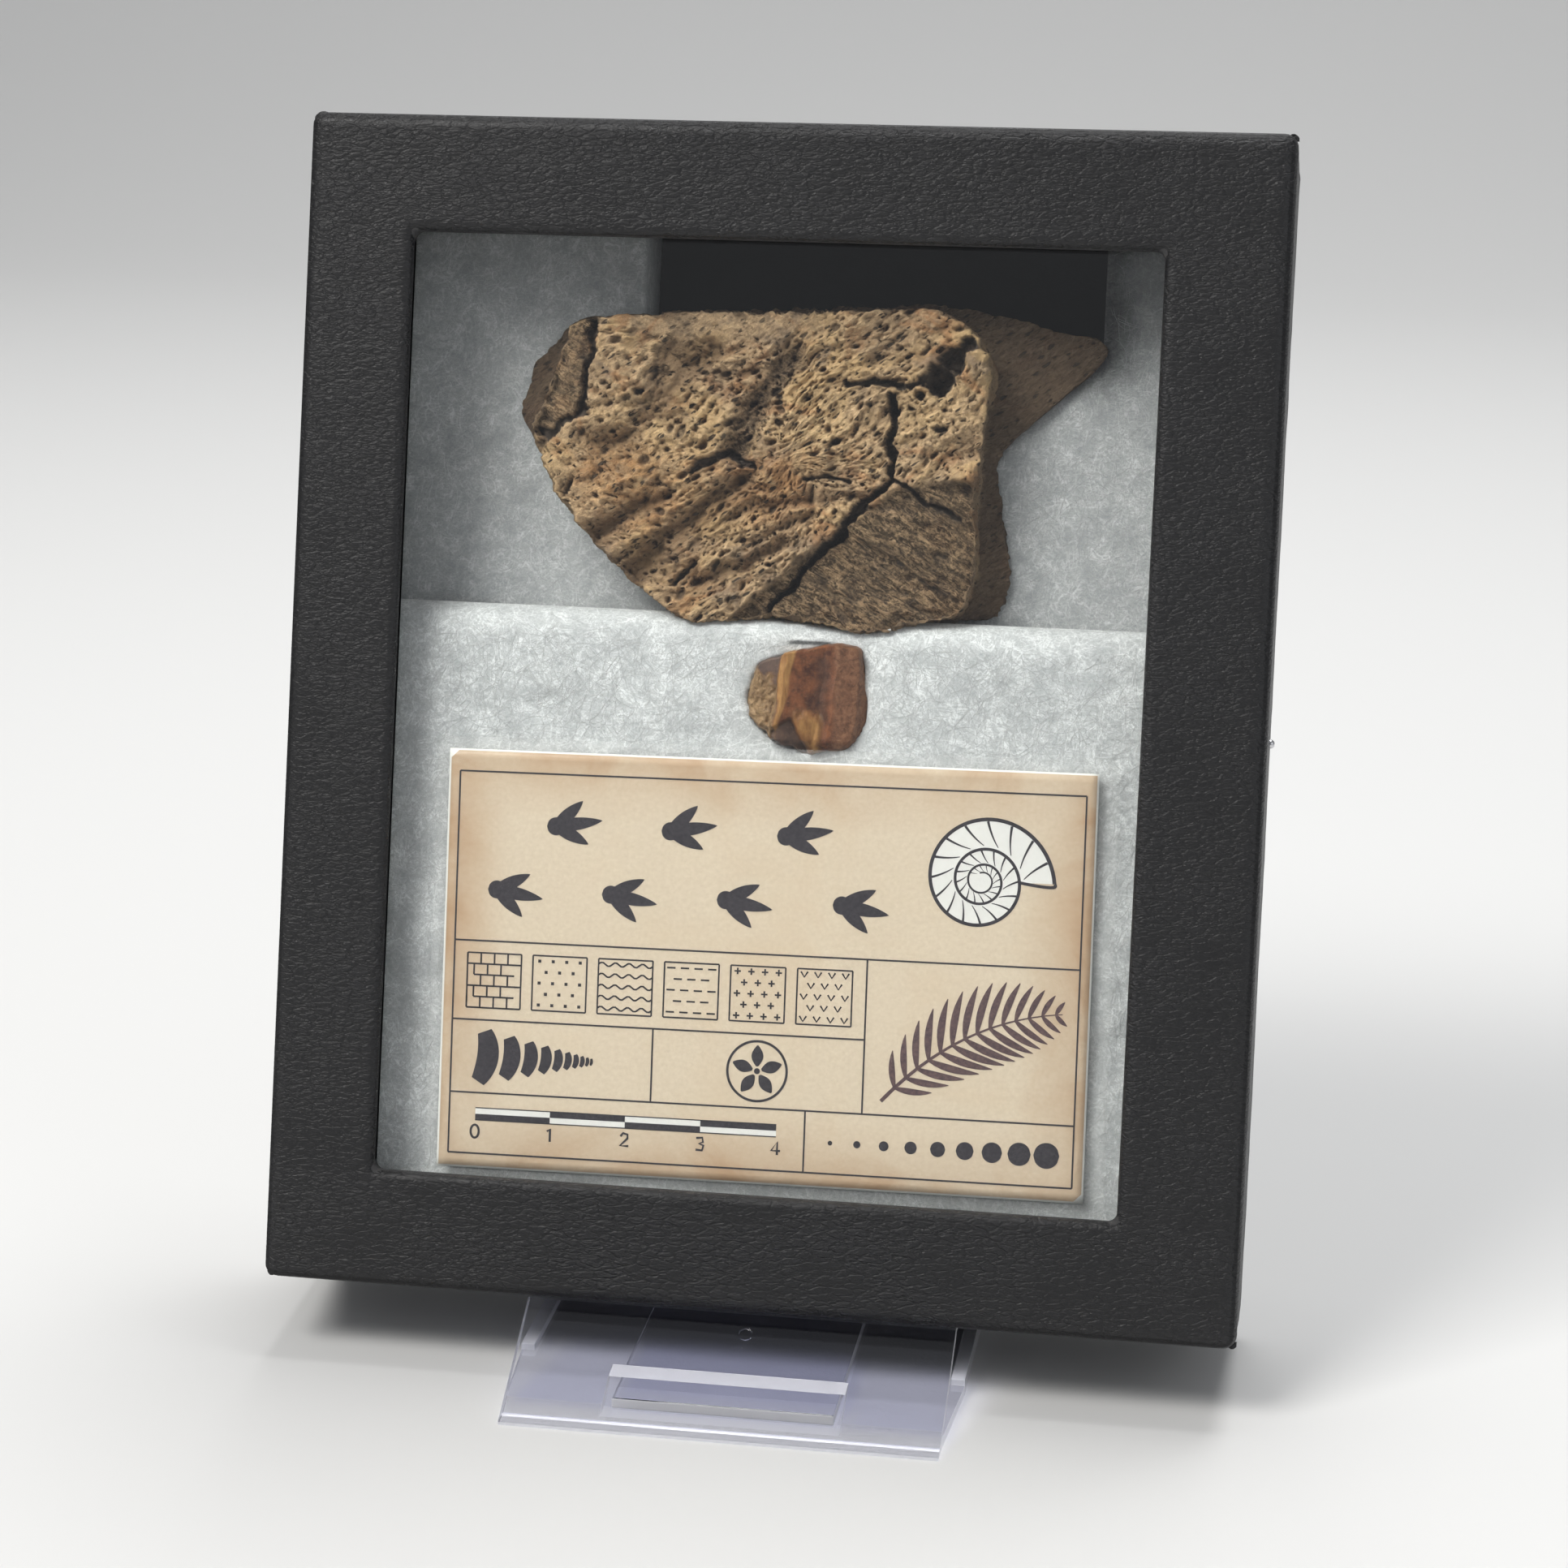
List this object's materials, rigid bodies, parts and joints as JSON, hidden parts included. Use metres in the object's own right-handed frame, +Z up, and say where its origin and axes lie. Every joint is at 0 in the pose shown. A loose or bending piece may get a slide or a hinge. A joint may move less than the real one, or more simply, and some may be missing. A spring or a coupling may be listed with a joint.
{
  "type": "fossil display box",
  "caption": "Shallow pinned box with a glazed grained-black lid over a padded tray holding a bone, a tooth and a card, leaning back on a clear plastic stand.",
  "frame": {"origin": "on the table plane, at the centre of the footprint of the whole object's box", "axes": "+X to the viewer's right along the box's width, +Y away from the viewer, +Z up; the box leans back by 15 degrees, so its front faces -Y and a little up"},
  "size_m": [0.1284, 0.0818, 0.1573],
  "materials": {
    "leatherette": "satin",
    "paperboard": "matte",
    "tray_paperboard": "matte",
    "glass": "polished",
    "strip_card": "matte",
    "black_paper": "matte",
    "batting": "matte",
    "bone": "matte",
    "tooth_enamel": "satin",
    "label_card": "satin",
    "pin_steel": "polished",
    "clear_plastic": "gloss"
  },
  "bodies": {
    "stand_front": {"stand_front": "clear_plastic"},
    "stand_back": {"stand_back": "clear_plastic"},
    "tray": {"tray_board": "tray_paperboard", "tray_cover": "black_paper", "batting_back": "batting", "batting_front": "batting", "bone_fragment": "bone", "tooth": "tooth_enamel", "label_card": "label_card"},
    "lid": {"lid_board": "paperboard", "lid_cover": "leatherette", "glass_pane": "glass", "glass_strip_top": "strip_card", "glass_strip_bottom": "strip_card", "glass_strip_left": "strip_card", "glass_strip_right": "strip_card"},
    "pin_left": {"pin_left": "pin_steel"},
    "pin_right": {"pin_right": "pin_steel"}
  },
  "joints": [
    {"name": "back_slide", "type": "slide", "parent": "stand_front", "child": "stand_back", "axis": [0, 1, 0], "range_m": [0, 0.02]},
    {"name": "box_lift", "type": "slide", "parent": "stand_front", "child": "tray", "axis": [0, 0, 1], "range_m": [0, 0.06]},
    {"name": "lid_lift", "type": "slide", "parent": "tray", "child": "lid", "axis": [0, -0.9659, 0.2588], "range_m": [0, 0.05]},
    {"name": "pin_left_draw", "type": "slide", "parent": "lid", "child": "pin_left", "axis": [-1, 0, 0], "range_m": [0, 0.015]},
    {"name": "pin_right_draw", "type": "slide", "parent": "lid", "child": "pin_right", "axis": [1, 0, 0], "range_m": [0, 0.015]}
  ],
  "couplings": [
    {"joint": "pin_left_draw", "follows": "lid_lift", "ratio": 0.3},
    {"joint": "pin_right_draw", "follows": "lid_lift", "ratio": 0.3}
  ]
}
